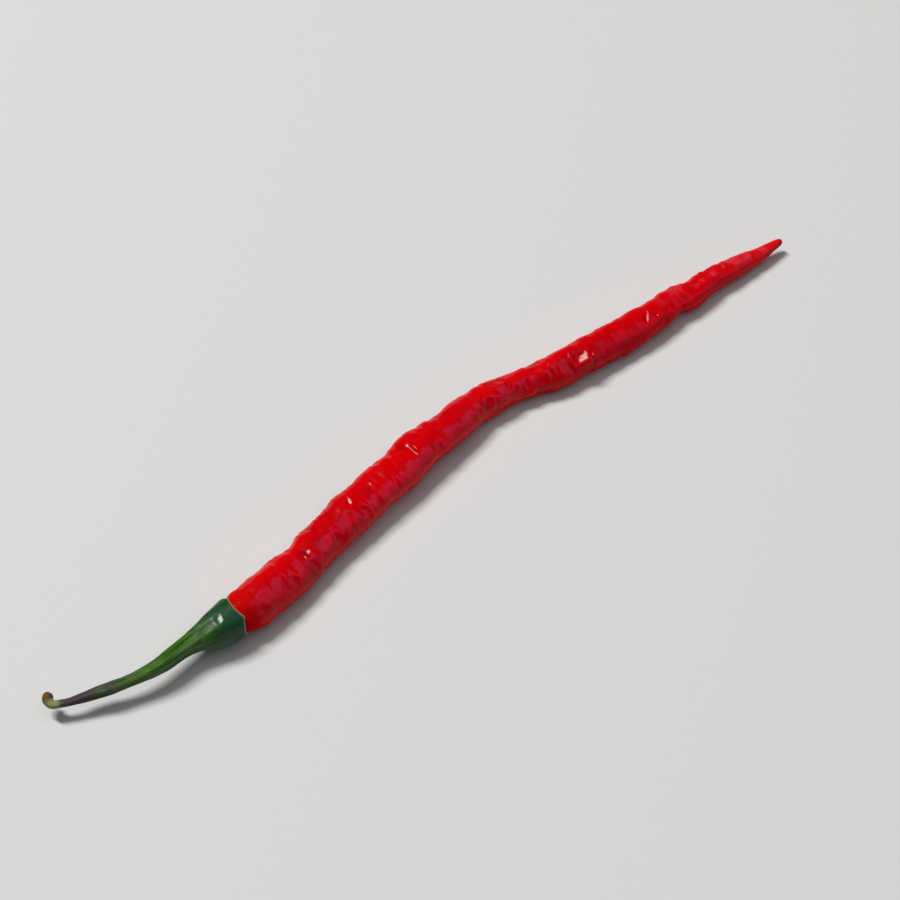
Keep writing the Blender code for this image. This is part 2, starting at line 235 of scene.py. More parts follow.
# Half thicknesses of the stalk and the calyx outside: mm along, then mm out
STALK_RADII: Knots = (
    (-45.5, 0.35),
    (-45.3, 0.75),
    (-44.9, 1.02),
    (-44.2, 1.15),
    (-43.3, 1.05),
    (-42.2, 0.88),
    (-40.0, 0.8),
    (-34.5, 1.1),
    (-31.0, 1.3),
    (-27.0, 1.25),
    (-21.0, 1.6),
    (-17.5, 1.85),
    (-11.8, 2.15),
    (-8.2, 3.0),
    (-5.2, 3.9),
    (-2.7, 4.35),
    (-0.5, 4.6),
)

# How high its ribs stand: mm along, then part of the half thickness
RIB_HEIGHTS: Knots = (
    (-45.5, 0.02),
    (-41.0, 0.08),
    (-33.0, 0.13),
    (-25.0, 0.06),
    (-10.0, 0.09),
    (-6.0, 0.05),
    (-0.5, 0.015),
)


def read_knots(pairs: Knots, at: np.ndarray) -> np.ndarray:
    """Smooth curve through (place, value) pairs.

    Args:
        pairs: Rising places, each with its value.
        at: The places to read.

    Returns:
        The value at each place.
    """
    places, values = (np.array(column, float) for column in zip(*pairs))
    return smooth_through(places, values, at)


def smooth_through(knots: np.ndarray, values: np.ndarray, at: np.ndarray) -> np.ndarray:
    """Cubic curve through numbers or points.

    Args:
        knots: Rising places.
        values: One number or one point for each place.
        at: The places to read.

    Returns:
        The number or the point at each place.
    """
    slopes = np.gradient(values, knots, axis=0)
    at = np.clip(at, knots[0], knots[-1])
    left = np.clip(np.searchsorted(knots, at, side="right") - 1, 0, len(knots) - 2)
    span = knots[left + 1] - knots[left]
    t = (at - knots[left]) / span
    if values.ndim > 1:
        t, span = t[..., None], span[..., None]
    start = (2 * t**3 - 3 * t**2 + 1) * values[left] + (t**3 - 2 * t**2 + t) * span * slopes[left]
    end = (3 * t**2 - 2 * t**3) * values[left + 1] + (t**3 - t**2) * span * slopes[left + 1]
    return start + end


def even_places(pairs: Knots, step: float) -> np.ndarray:
    """Places about a step apart, from the first of the (place, value) pairs to the last."""
    start, end = pairs[0][0], pairs[-1][0]
    return np.linspace(start, end, round((end - start) / step))


def turn_between(around: np.ndarray, centre: float) -> np.ndarray:
    """Angle from centre to around, the short way."""
    return (around - centre + math.pi) % (2 * math.pi) - math.pi


class MiddleLine:
    """The pepper's middle line, measured in mm along it from the calyx rim, towards the tip."""

    STEP = 0.05

    def __init__(self, points: Sequence[Point]) -> None:
        """Lays the line through the points and starts its measure at the rim.

        Args:
            points: Points on the line in mm, from the stalk's cut end to the tip.
        """
        spots = np.array(points, float)
        chords = np.linalg.norm(np.diff(spots, axis=0), axis=1)
        knots = np.concatenate(([0.0], np.cumsum(chords)))
        self.places = smooth_through(knots, spots, np.arange(0.0, knots[-1], self.STEP))
        steps = np.linalg.norm(np.diff(self.places, axis=0), axis=1)
        self.along = np.concatenate(([0.0], np.cumsum(steps)))
        self.along -= self.along[np.argmax(self.places[:, 0] > RIM_X)]
        self.forward = np.gradient(self.places, self.along, axis=0)

    def read(self, values: np.ndarray, along: np.ndarray) -> np.ndarray:
        """Values held at the line's places, read at distances along it."""
        return np.stack([np.interp(along, self.along, column) for column in values.T], axis=-1)

    def point(self, along: np.ndarray, around: np.ndarray, radius: np.ndarray) -> np.ndarray:
        """Points off the line.

        Args:
            along: Distances along the line, in mm.
            around: Angles round it, from the top towards +Y.
            radius: Distances out from it, in mm.

        Returns:
            One point in mm for each distance.
        """
        forward = self.read(self.forward, along)
        forward /= np.linalg.norm(forward, axis=-1, keepdims=True)
        up = np.array([0.0, 0.0, 1.0]) - forward * forward[..., 2:]
        up /= np.linalg.norm(up, axis=-1, keepdims=True)
        left = np.cross(up, forward)
        out = np.cos(around)[..., None] * up + np.sin(around)[..., None] * left
        return self.read(self.places, along) + out * radius[..., None]


class Mapped(Enum):
    """The attributes that a skin holds and its finish reads."""

    STRAIGHT = ("straight", "FLOAT_VECTOR", "vector")
    ALONG = ("along", "FLOAT", "value")
    # How deep a place lies in a crease, for the red skin's painted crease shade
    CREASE_SHADE_MASK = ("sunk", "FLOAT", "value")
    RIM = ("rim", "FLOAT", "value")


@dataclass(frozen=True)
class Grain:
    """Noise of one kind in a finish.

    Attributes:
        scale: Waves of noise per mm.
        stretch: How much it is squeezed along, up and across the straightened skin.
        detail: Octaves.
        roughness: How strong each octave is, as part of the one before.
    """

    scale: float
    stretch: Point
    detail: float
    roughness: float = 0.55


class Socket:
    """A shader value that adds the Math nodes for an expression on it."""

    def __init__(self, tree: "ShaderTree", link: bpy.types.NodeSocket) -> None:
        """Wraps one output socket of the tree."""
        self.tree = tree
        self.link = link

    def math(self, operation: str, *values: Union["Socket", Number]) -> "Socket":
        """Adds one Math node, for sockets and numbers in order."""
        return self.tree.node("ShaderNodeMath", {"operation": operation}, dict(enumerate(values)))

    def __add__(self, other: Union["Socket", Number]) -> "Socket":
        """This value plus another."""
        return self.math("ADD", self, other)

    def __radd__(self, other: Number) -> "Socket":
        """A number plus this value."""
        return self.math("ADD", other, self)

    def __sub__(self, other: Union["Socket", Number]) -> "Socket":
        """This value minus another."""
        return self.math("SUBTRACT", self, other)

    def __rsub__(self, other: Number) -> "Socket":
        """A number minus this value."""
        return self.math("SUBTRACT", other, self)

    def __mul__(self, other: Union["Socket", Number]) -> "Socket":
        """This value times another."""
        return self.math("MULTIPLY", self, other)

    def __rmul__(self, other: Number) -> "Socket":
        """A number times this value."""
        return self.math("MULTIPLY", other, self)

    def above(self, least: float) -> "Socket":
        """Squeezes a value from 0 to 1, so that it runs from least to 1."""
        return self * (1 - least) + least

    def ramp(self, start: float, end: float) -> "Socket":
        """Smooth ramp on this value.

        Args:
            start: The value that gives 0.
            end: The value that gives 1. It may be below start.

        Returns:
            The ramp, from 0 to 1.
        """
        low, high = sorted((start, end))
        values = {"Value": self, "From Min": low, "From Max": high}
        risen = self.tree.node("ShaderNodeMapRange", {"interpolation_type": "SMOOTHSTEP"}, values)
        return 1 - risen if start > end else risen


class ShaderTree:
    """The nodes of one material."""

    def __init__(self, name: str) -> None:
        """Starts a material with one Principled shader.

        Args:
            name: The material's name.
        """
        self.material = bpy.data.materials.new(name)
        self.material.use_nodes = True
        self.tree = self.material.node_tree
        self.shader = self.tree.nodes["Principled BSDF"]

    def node(self, kind: str, settings: dict, values: dict, output: Union[int, str] = 0) -> Socket:
        """Adds a node.

        Args:
            kind: The node's type.
            settings: Its properties, which are set first.
            values: What its inputs get, by name, identifier or number: sockets, numbers, colours.
            output: The output that is returned.

        Returns:
            The node's output.
        """
        made = self.tree.nodes.new(kind)
        for key, value in settings.items():
            setattr(made, key, value)
        for key, value in values.items():
            self.feed(self.find(made.inputs, key), value)
        return Socket(self, self.find(made.outputs, output))

    @staticmethod
    def find(sockets: bpy.types.bpy_prop_collection, key: Union[int, str]) -> bpy.types.NodeSocket:
        """Finds one socket of a node.

        Args:
            sockets: The node's inputs or outputs.
            key: The socket's number, identifier or name.

        Returns:
            The socket.
        """
        if isinstance(key, int):
            return sockets[key]
        named = [socket for socket in sockets if socket.identifier == key]
        return named[0] if named else sockets[key]

    def feed(self, socket: bpy.types.NodeSocket, value: Union[Socket, Number, Sequence[float]]) -> None:
        """Links an input to a shader value, or sets it.

        Args:
            socket: The input.
            value: What it gets. A colour of three numbers gets an alpha of 1.
        """
        if isinstance(value, Socket):
            self.tree.links.new(value.link, socket)
        elif isinstance(value, (int, float)):
            socket.default_value = value
        elif len(socket.default_value) > len(value):
            socket.default_value = (*value, 1.0)
        else:
            socket.default_value = value

    def attribute(self, mapped: Mapped, output: str = "Fac") -> Socket:
        """Reads one of the piece's own attributes."""
        return self.node("ShaderNodeAttribute", {"attribute_name": mapped.value[0]}, {}, output)

    def noise(self, grain: Grain) -> Socket:
        """Noise that follows the straightened skin.

        Args:
            grain: The kind of noise.

        Returns:
            The noise, about 0.5 on average.
        """
        straight = self.attribute(Mapped.STRAIGHT, "Vector")
        placed = self.node("ShaderNodeMapping", {}, {"Vector": straight, "Scale": grain.stretch})
        values = {"Vector": placed, "Scale": grain.scale, "Detail": grain.detail,
                  "Roughness": grain.roughness}
        return self.node("ShaderNodeTexNoise", {"noise_dimensions": "3D"}, values, "Fac")

    def straightened(self, axis: str) -> Socket:
        """Place on the straightened skin in mm: X along the pepper, Y up or Z to the left."""
        straight = self.attribute(Mapped.STRAIGHT, "Vector")
        return self.node("ShaderNodeSeparateXYZ", {}, {"Vector": straight}, axis)

    def mix(self, amount: Union[Socket, Number], first: Union[Socket, Colour],
            second: Union[Socket, Colour]) -> Socket:
        """A colour between two others.

        Args:
            amount: 0 for the first, 1 for the second.
            first: One colour.
            second: The other colour.

        Returns:
            The mixed colour.
        """
        settings = {"data_type": "RGBA", "clamp_factor": True}
        values = {"Factor_Float": amount, "A_Color": first, "B_Color": second}
        return self.node("ShaderNodeMix", settings, values, "Result_Color")

    def bump(self, height: Socket, depth: float) -> Socket:
        """Turns a height from 0 to 1 into a surface direction, for a depth in mm."""
        values = {"Height": height, "Distance": depth * MM, "Strength": 1.0}
        return self.node("ShaderNodeBump", {}, values, "Normal")

    def set_shader(self, **values: Union[Socket, Number, Sequence[float]]) -> None:
        """Feeds the Principled shader's sockets, named with underscores for spaces."""
        for key, value in values.items():
            self.feed(self.shader.inputs[key.replace("_", " ")], value)


@dataclass(frozen=True)
class RedSkin:
    """The pod's finish: a tight, waxy red skin, with painted shade in its creases and a painted sheen
    near the tip.

    A span is where a ramp starts and where it ends: in the noise's own value, in mm along the pod, or
    in mm up or to the left on the straightened skin. A share is how much of its colour a patch takes.
    """

    bright: Colour = (0.58, 0.0003, 0.0022)
    deep: Colour = (0.43, 0.0003, 0.0032)
    clouds: Grain = Grain(0.10, (0.5, 1.0, 1.0), 2.0)
    cloud_span: Span = (0.40, 0.68)
    cloud_share: float = 0.70
    mottle: Grain = Grain(0.55, (1.0, 0.6, 0.6), 3.0)
    mottle_span: Span = (0.48, 0.72)
    mottle_share: float = 0.40

    neck: Colour = (0.46, 0.0050, 0.0020)
    neck_span: Span = (9.0, 0.0)
    neck_share: float = 0.55
    tip: Colour = (0.62, 0.0080, 0.0050)
    tip_span: Span = (135.0, 163.0)
    tip_share: float = 0.60

    # Painted sheen: pale pink patches near the tip, kept off the -Y side, that stand in for reflected
    # light
    painted_sheen: Colour = (0.60, 0.0500, 0.0750)
    painted_sheens: Grain = Grain(0.42, (0.9, 0.8, 0.8), 3.0)
    sheen_span: Span = (0.45, 0.62)
    sheen_side: Span = (-1.5, -0.3)
    sheen_start: Span = (118.0, 142.0)
    sheen_stop: Span = (160.0, 156.0)
    sheen_share: float = 0.55
    # Painted shade: a darker red in the creases, stronger the deeper each place lies in one
    crease: Colour = (0.30, 0.0006, 0.0020)
    crease_shade_span: Span = (0.25, 1.0)
    crease_shade_share: float = 0.60

    fine: Grain = Grain(1.6, (1.6, 0.7, 0.7), 4.0)
    pores: Grain = Grain(5.0, (1.0, 1.0, 1.0), 2.0)
    pore_share: float = 0.25
    grain_depth: float = 0.03
    roughness: float = 0.42
    roughness_change: float = 0.10
    specular: float = 0.0

    coat: float = 0.6
    coat_roughness: float = 0.19
    coat_bend: float = 1.3
    least_gloss: float = 0.1
    neck_gloss_span: Span = (1.5, 4.5)
    tip_gloss: float = 0.5
    tip_gloss_span: Span = (110.0, 88.0)
    under_gloss: float = 0.5
    under_gloss_span: Span = (-1.5, 2.0)

    depth_of_light: float = 0.6
    light_reach: Point = (1.0, 0.06, 0.04)
    light_scale: float = 1.2

    def build(self) -> bpy.types.Material:
        """Builds the material from the pod's own attributes.

        Returns:
            The material.
        """
        tree = ShaderTree("red_skin")
        along = tree.attribute(Mapped.ALONG)
        mottle = tree.noise(self.mottle)
        coat = self.shine(tree, along) * self.coat
        roughness = mottle * self.roughness_change + (self.roughness - self.roughness_change / 2)
        pores = tree.noise(self.pores) * self.pore_share
        height = tree.noise(self.fine) * (1 - self.pore_share) + pores
        tree.set_shader(Base_Color=self.colour(tree, along, mottle), Roughness=roughness,
                        Coat_Weight=coat, Coat_Roughness=self.coat_roughness, Coat_IOR=self.coat_bend,
                        Specular_IOR_Level=self.specular, Subsurface_Weight=self.depth_of_light,
                        Subsurface_Radius=self.light_reach, Subsurface_Scale=self.light_scale * MM,
                        Normal=tree.bump(height, self.grain_depth))
        return tree.material

    def colour(self, tree: ShaderTree, along: Socket, mottle: Socket) -> Socket:
        """Mixes the skin's colour, with its painted sheen and its painted crease shade.

        Args:
            tree: The material's nodes.
            along: Place along the pod, in mm.
            mottle: The mottle's noise.

        Returns:
            The colour.
        """
        clouds = tree.noise(self.clouds).ramp(*self.cloud_span)
        # Painted sheen near the tip, kept off the -Y side
        painted_sheens = tree.noise(self.painted_sheens).ramp(*self.sheen_span)
        painted_sheens = painted_sheens * tree.straightened("Z").ramp(*self.sheen_side)
        painted_sheens = painted_sheens * along.ramp(*self.sheen_start) * along.ramp(*self.sheen_stop)
        # Painted shade in the creases
        sunk = tree.attribute(Mapped.CREASE_SHADE_MASK).ramp(*self.crease_shade_span)
        colour = tree.mix(clouds * self.cloud_share, self.bright, self.deep)
        colour = tree.mix(mottle.ramp(*self.mottle_span) * self.mottle_share, colour, self.deep)
        colour = tree.mix(along.ramp(*self.neck_span) * self.neck_share, colour, self.neck)
        colour = tree.mix(along.ramp(*self.tip_span) * self.tip_share, colour, self.tip)
        colour = tree.mix(painted_sheens * self.sheen_share, colour, self.painted_sheen)
        return tree.mix(sunk * self.crease_shade_share, colour, self.crease)

    def shine(self, tree: ShaderTree, along: Socket) -> Socket:
        """Works out how glossy the skin is: less at the neck, towards the tip and underneath.

        Args:
            tree: The material's nodes.
            along: Place along the pod, in mm.

        Returns:
            The gloss, where 1 is the full coat.
        """
        along_pod = along.ramp(*self.tip_gloss_span).above(self.tip_gloss)
        shine = (along.ramp(*self.neck_gloss_span) * along_pod).above(self.least_gloss)
        return shine * tree.straightened("Y").ramp(*self.under_gloss_span).above(self.under_gloss)


@dataclass(frozen=True)
class GreenSkin:
    """The calyx and stalk's finish: dark glossy green, olive along the stalk, dried near the cut, with
    pale streaks and a painted reflection on the stalk's -Y side.

    Spans and shares are as in the red skin.
    """

    calyx: Colour = (0.005, 0.054, 0.012)
    fresh: Colour = (0.034, 0.112, 0.001)
    fresh_span: Span = (-4.0, -11.0)
    # Pale grey-green streaks along the stalk, its own, and a painted reflection that adds more of them on
    # its -Y side
    streak_and_reflection: Colour = (0.075, 0.132, 0.052)
    streaks: Grain = Grain(0.9, (0.10, 1.0, 1.0), 3.0)
    streak_span: Span = (0.56, 0.78)
    streak_start: Span = (-3.0, -8.0)
    reflection_side: Span = (0.2, -1.6)
    reflection_lift: float = 0.16
    streak_share: float = 0.65
    # Darker stripes along the stalk, placed by noise
    dark_stripe: Colour = (0.010, 0.040, 0.006)
    dark_stripes: Grain = Grain(1.5, (0.06, 1.0, 1.0), 2.0)
    dark_stripe_span: Span = (0.50, 0.64)
    dark_stripe_share: float = 0.75

    dried: Colour = (0.062, 0.042, 0.046)
    dried_span: Span = (-26.5, -33.0)
    patches: Grain = Grain(0.35, (0.6, 1.0, 1.0), 2.0)
    patch_span: Span = (0.35, 0.60)
    least_dried: float = 0.4
    cut: Colour = (0.110, 0.055, 0.006)
    cut_span: Span = (-42.6, -44.2)
    pale_spot: Colour = (0.300, 0.290, 0.110)
    spot_start: Span = (-40.5, -42.0)
    spot_stop: Span = (-44.2, -42.8)
    spot_share: float = 0.80
    rim: Colour = (0.330, 0.250, 0.100)
    rim_span: Span = (0.2, 0.8)
    rim_share: float = 0.90

    fine: Grain = Grain(2.2, (0.25, 1.0, 1.0), 4.0)
    grain_depth: float = 0.05
    roughness: float = 0.45
    roughness_change: float = 0.10
    dried_roughness: float = 0.25
    specular: float = 0.12
    coat: float = 0.22
    coat_roughness: float = 0.18
    stalk_gloss: float = 0.06
    calyx_gloss_span: Span = (-6.4, -5.2)

    def build(self) -> bpy.types.Material:
        """Builds the material from the piece's own attributes.

        Returns:
            The material.
        """
        tree = ShaderTree("green_skin")
        along = tree.attribute(Mapped.ALONG)
        patches = tree.noise(self.patches)
        dry = along.ramp(*self.dried_span) * patches.ramp(*self.patch_span).above(self.least_dried)
        roughness = patches * self.roughness_change + (self.roughness - self.roughness_change / 2)
        roughness = dry * self.dried_roughness + roughness
        coat = along.ramp(*self.calyx_gloss_span).above(self.stalk_gloss) * self.coat
        tree.set_shader(Base_Color=self.colour(tree, along, dry), Roughness=roughness,
                        Coat_Weight=coat, Coat_Roughness=self.coat_roughness,
                        Specular_IOR_Level=self.specular,
                        Normal=tree.bump(tree.noise(self.fine), self.grain_depth))
        return tree.material

    def colour(self, tree: ShaderTree, along: Socket, dry: Socket) -> Socket:
        """Mixes the colour of the calyx and the stalk, with a painted reflection on the stalk's -Y side.

        Args:
            tree: The material's nodes.
            along: Place along the pepper, in mm.
            dry: How dried the stalk is, from 0 to 1.

        Returns:
            The colour.
        """
        # Painted reflection: more pale streaks on the stalk's -Y side
        side = tree.straightened("Z").ramp(*self.reflection_side) * self.reflection_lift
        pale = (tree.noise(self.streaks) + side).ramp(*self.streak_span) * along.ramp(*self.streak_start)
        dark_stripes = tree.noise(self.dark_stripes).ramp(*self.dark_stripe_span)
        spot = along.ramp(*self.spot_start) * along.ramp(*self.spot_stop)
        rim = tree.attribute(Mapped.RIM).ramp(*self.rim_span)
        colour = tree.mix(along.ramp(*self.fresh_span), self.calyx, self.fresh)
        colour = tree.mix(pale * self.streak_share, colour, self.streak_and_reflection)
        colour = tree.mix(dark_stripes * self.dark_stripe_share, colour, self.dark_stripe)
        colour = tree.mix(dry, colour, self.dried)
        colour = tree.mix(along.ramp(*self.cut_span), colour, self.cut)
        colour = tree.mix(spot * self.spot_share, colour, self.pale_spot)
        return tree.mix(rim * self.rim_share, colour, self.rim)


@dataclass(frozen=True)
class PaleFloor:
    """The studio floor's finish: plain matt white."""

    colour: Colour = (0.57, 0.57, 0.57)
    roughness: float = 0.9
    specular: float = 0.1

    def build(self) -> bpy.types.Material:
        """Builds the plain material.

        Returns:
            The material.
        """
        tree = ShaderTree("pale_floor")
        tree.set_shader(Base_Color=self.colour, Roughness=self.roughness,
                        Specular_IOR_Level=self.specular)
        return tree.material


@dataclass(frozen=True)
class Relief:
    """Smooth noise that shapes a skin, with no seam.

    Attributes:
        height: How far it goes out and in: in mm, or as a part where it scales another relief.
        step: Size of its waves along the skin, in mm.
        spread: Size of its waves round the skin, in radii.
        seed: Moves the noise, so that two kinds differ.
    """

    height: float
    step: float
    spread: float
    seed: float

    def read(self, along: np.ndarray, around: np.ndarray) -> np.ndarray:
        """Reads the noise.

        Args:
            along: Places along the skin, in mm.
            around: Angles round the skin.

        Returns:
            How far the noise goes out, or in where it is below 0, for each place.
        """
        east, north = np.cos(around) / self.spread, np.sin(around) / self.spread
        return self.height * np.array([
            noise.noise(Vector((a / self.step + self.seed, e, n)))
            for a, e, n in zip(along.tolist(), east.tolist(), north.tolist())
        ])


@dataclass(frozen=True)
class Wrinkles:
    """Fine pleats, folds and soft facets of the pod's skin.

    Attributes:
        pleats: The fine pleats across the pod.
        folds: The wider folds across the pod.
        facets: The soft facets.
        ripples: The fine ripples, which cross the tight flats too.
        patches: Where the pleats and folds are high.
        patch_middle: Their usual height, as a part.
        patch_least: Their least height, as a part.
        taut_side: Where the skin is drawn smoother, in degrees from the top.
        taut_reach: How far to each side of that, in degrees.
        tautness: How much lower the pleats and folds are there, as a part.
    """

    pleats: Relief = Relief(0.07, 0.50, 0.75, 3.1)
    folds: Relief = Relief(0.23, 1.15, 0.90, 44.7)
    facets: Relief = Relief(0.36, 3.60, 0.80, 27.4)
    ripples: Relief = Relief(0.05, 0.85, 0.30, 83.0)
    patches: Relief = Relief(1.6, 7.0, 1.2, 61.0)
    patch_middle: float = 0.75
    patch_least: float = 0.3
    taut_side: float = 14.0
    taut_reach: float = 32.0
    tautness: float = 0.6

    def height(self, along: np.ndarray, around: np.ndarray) -> np.ndarray:
        """Height of the pleats, folds and facets.

        Args:
            along: Places along the pod, in mm.
            around: Angles round it.

        Returns:
            The height in mm at each place.
        """
        patch = np.clip(self.patches.read(along, around) + self.patch_middle, self.patch_least, 1.0)
        turn = turn_between(around, math.radians(self.taut_side)) / math.radians(self.taut_reach)
        patch *= 1 - self.tautness * np.exp(-turn**2)
        folded = self.pleats.read(along, around) + self.folds.read(along, around)
        return folded * patch + self.facets.read(along, around)


@dataclass(frozen=True)
class Creases:
    """Creases across the pod: the chosen ones, and others on the far side, drawn with a fixed seed.

    Attributes:
        seed: Starts the draw.
        count: Number of drawn creases.
        start: Place of the first drawn one, in mm along.
        stop: Place of the last, in mm along.
        far_side: Where the far side starts and ends, in degrees from the top.
        depths: Shallowest and deepest, in mm.
        lengths: Shortest and longest half length along the pod, in mm.
        spreads: Shortest and longest half reach round the pod, in degrees.
        slant: The most that a drawn crease leans, in mm for each radian.
    """

    seed: int = 11
    count: int = 80
    start: float = 6.0
    stop: float = 159.0
    far_side: Span = (75.0, 235.0)
    depths: Span = (0.12, 0.35)
    lengths: Span = (0.6, 1.2)
    spreads: Span = (20.0, 50.0)
    slant: float = 1.1

    def rows(self) -> list[tuple[float, ...]]:
        """Lists all the creases.

        Returns:
            Each crease as its row of sizes.
        """
        draw = np.random.default_rng(self.seed)
        drawn = [
            (place, draw.uniform(*self.far_side), draw.uniform(*self.depths), draw.uniform(*self.lengths),
             draw.uniform(*self.spreads), draw.uniform(-self.slant, self.slant))
            for place in np.linspace(self.start, self.stop, self.count)
        ]
        return [*CHOSEN_CREASES, *drawn]

    def depth(self, along: np.ndarray, around: np.ndarray) -> np.ndarray:
        """Depth of all the creases.

        Args:
            along: Places along the pod, in mm.
            around: Angles round it.

        Returns:
            The depth in mm at each place.
        """
        depth = np.zeros_like(along)
        for place, centre, deep, length, reach, slant in self.rows():
            turn = turn_between(around, math.radians(centre))
            away = (along - place - slant * turn) / length
            depth += deep * np.exp(-away**2 - (turn / math.radians(reach)) ** 2)
        return depth


@dataclass
class Skin:
    """A closed skin round the middle line, made ring by ring.

    Attributes:
        name: The piece's name.
        node: The CAD node that it replaces.
        slot: Name of a material slot; not used.
        line: The middle line.
        sides: Faces round each ring.
        step: Distance between rings, in mm.
        stations: Place of each ring along the line, in mm. The build sets it.
        steepest: Least cosine that a tight flat is worked out with, which keeps its far edges in.
    """

    name: str
    node: str
    slot: str
    line: MiddleLine
    sides: int
    step: float
    stations: np.ndarray = field(init=False)
    steepest: float = 0.2

    def tube(self) -> tuple[bmesh.types.BMesh, np.ndarray, np.ndarray]:
        """Straight open tube with a ring for each station.

        Returns:
            The mesh, and for each of its vertices the number of its ring and its angle.
        """
        mesh = bmesh.new()
        steps = len(self.stations) - 1
        bmesh.ops.create_circle(mesh, cap_ends=False, segments=self.sides, radius=1.0)
        made = bmesh.ops.extrude_edge_only(mesh, edges=mesh.edges[:])["geom"]
        verts = [item for item in made if isinstance(item, bmesh.types.BMVert)]
        bmesh.ops.translate(mesh, vec=(0.0, 0.0, steps), verts=verts)
        upright = [edge for edge in mesh.edges if not edge.is_boundary]
        bmesh.ops.subdivide_edges(mesh, edges=upright, cuts=steps - 1, use_grid_fill=True)
        spots = np.array([vert.co[:] for vert in mesh.verts], float)
        return mesh, np.rint(spots[:, 2]).astype(int), np.arctan2(spots[:, 1], spots[:, 0])

    def tighten(self, along: np.ndarray, around: np.ndarray, radius: np.ndarray,
                flats: Sequence[tuple[float, ...]]) -> np.ndarray:
        """Presses small tight flats into the skin.

        Args:
            along: Places along the line, in mm.
            around: Angles round it.
            radius: The skin's radius there before, in mm.
            flats: The flats, each as its row of sizes.

        Returns:
            The radius after.
        """
        for place, centre, length, reach, deep, facing, round_to, slant in flats:
            turn = turn_between(around, math.radians(centre))
            away = (along - place - slant * turn) / length
            share = np.exp(-away**4 - (turn / math.radians(reach)) ** 4)
            middle = np.sum(radius * share) / np.sum(share) - deep
            off = turn_between(around, math.radians(round_to))
            rise = math.tan(math.radians(facing)) * (along - place)
            flat = middle * math.cos(math.radians(centre - round_to)) + rise
            flat = flat / np.maximum(np.cos(off), self.steepest)
            radius = radius + (flat - radius) * share
        return radius

    def close(self, mesh: bmesh.types.BMesh, places: np.ndarray, dome: float) -> None:
        """Shapes the tube and closes both of its ends.

        Args:
            mesh: The tube.
            places: Where each of its vertices goes, in mm.
            dome: How far the middle of each end stands out, in mm.
        """
        for vert, place in zip(mesh.verts, places):
            vert.co = place * MM
        rims = [edge for edge in mesh.edges if edge.is_boundary]
        caps = bmesh.ops.holes_fill(mesh, edges=rims, sides=0)["faces"]
        bmesh.ops.poke(mesh, faces=caps, offset=dome * MM)

    def finish(self, mesh: bmesh.types.BMesh, values: dict[Mapped, np.ndarray],
               material: bpy.types.Material) -> bpy.types.Object:
        """Turns the closed mesh into a dressed piece that stands for its CAD node.

        Args:
            mesh: The closed mesh: the tube's vertices, then the middles of its two ends.
            values: What each attribute holds at the tube's vertices.
            material: The piece's finish.

        Returns:
            The new object.
        """
        bmesh.ops.recalc_face_normals(mesh, faces=mesh.faces)
        data = bpy.data.meshes.new(self.name)
        mesh.to_mesh(data)
        mesh.free()
        data.shade_smooth()
        data.materials.append(material)
        for mapped, numbers in values.items():
            name, kind, key = mapped.value
            numbers = np.concatenate((numbers, numbers[[0, self.sides]]))
            data.attributes.new(name, kind, "POINT").data.foreach_set(key, numbers.ravel())
        piece = bpy.data.objects.new(self.name, data)
        bpy.context.scene.collection.objects.link(piece)
        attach(piece, "root")
        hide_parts(self.node)
        return piece

    def report(self, piece: bpy.types.Object) -> None:
        """Logs the piece's size and how far its box is from its CAD node's.

        Args:
            piece: The finished piece.
        """
        spots = np.array([corner[:] for corner in piece.bound_box])
        low, high = (np.array(corner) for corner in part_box(self.node))
        off = max(np.abs(spots.min(0) - low).max(), np.abs(spots.max(0) - high).max())
        LOG.info("%s: %d faces, box within %.2f mm of %s",
                 self.name, len(piece.data.polygons), off / MM, self.node)


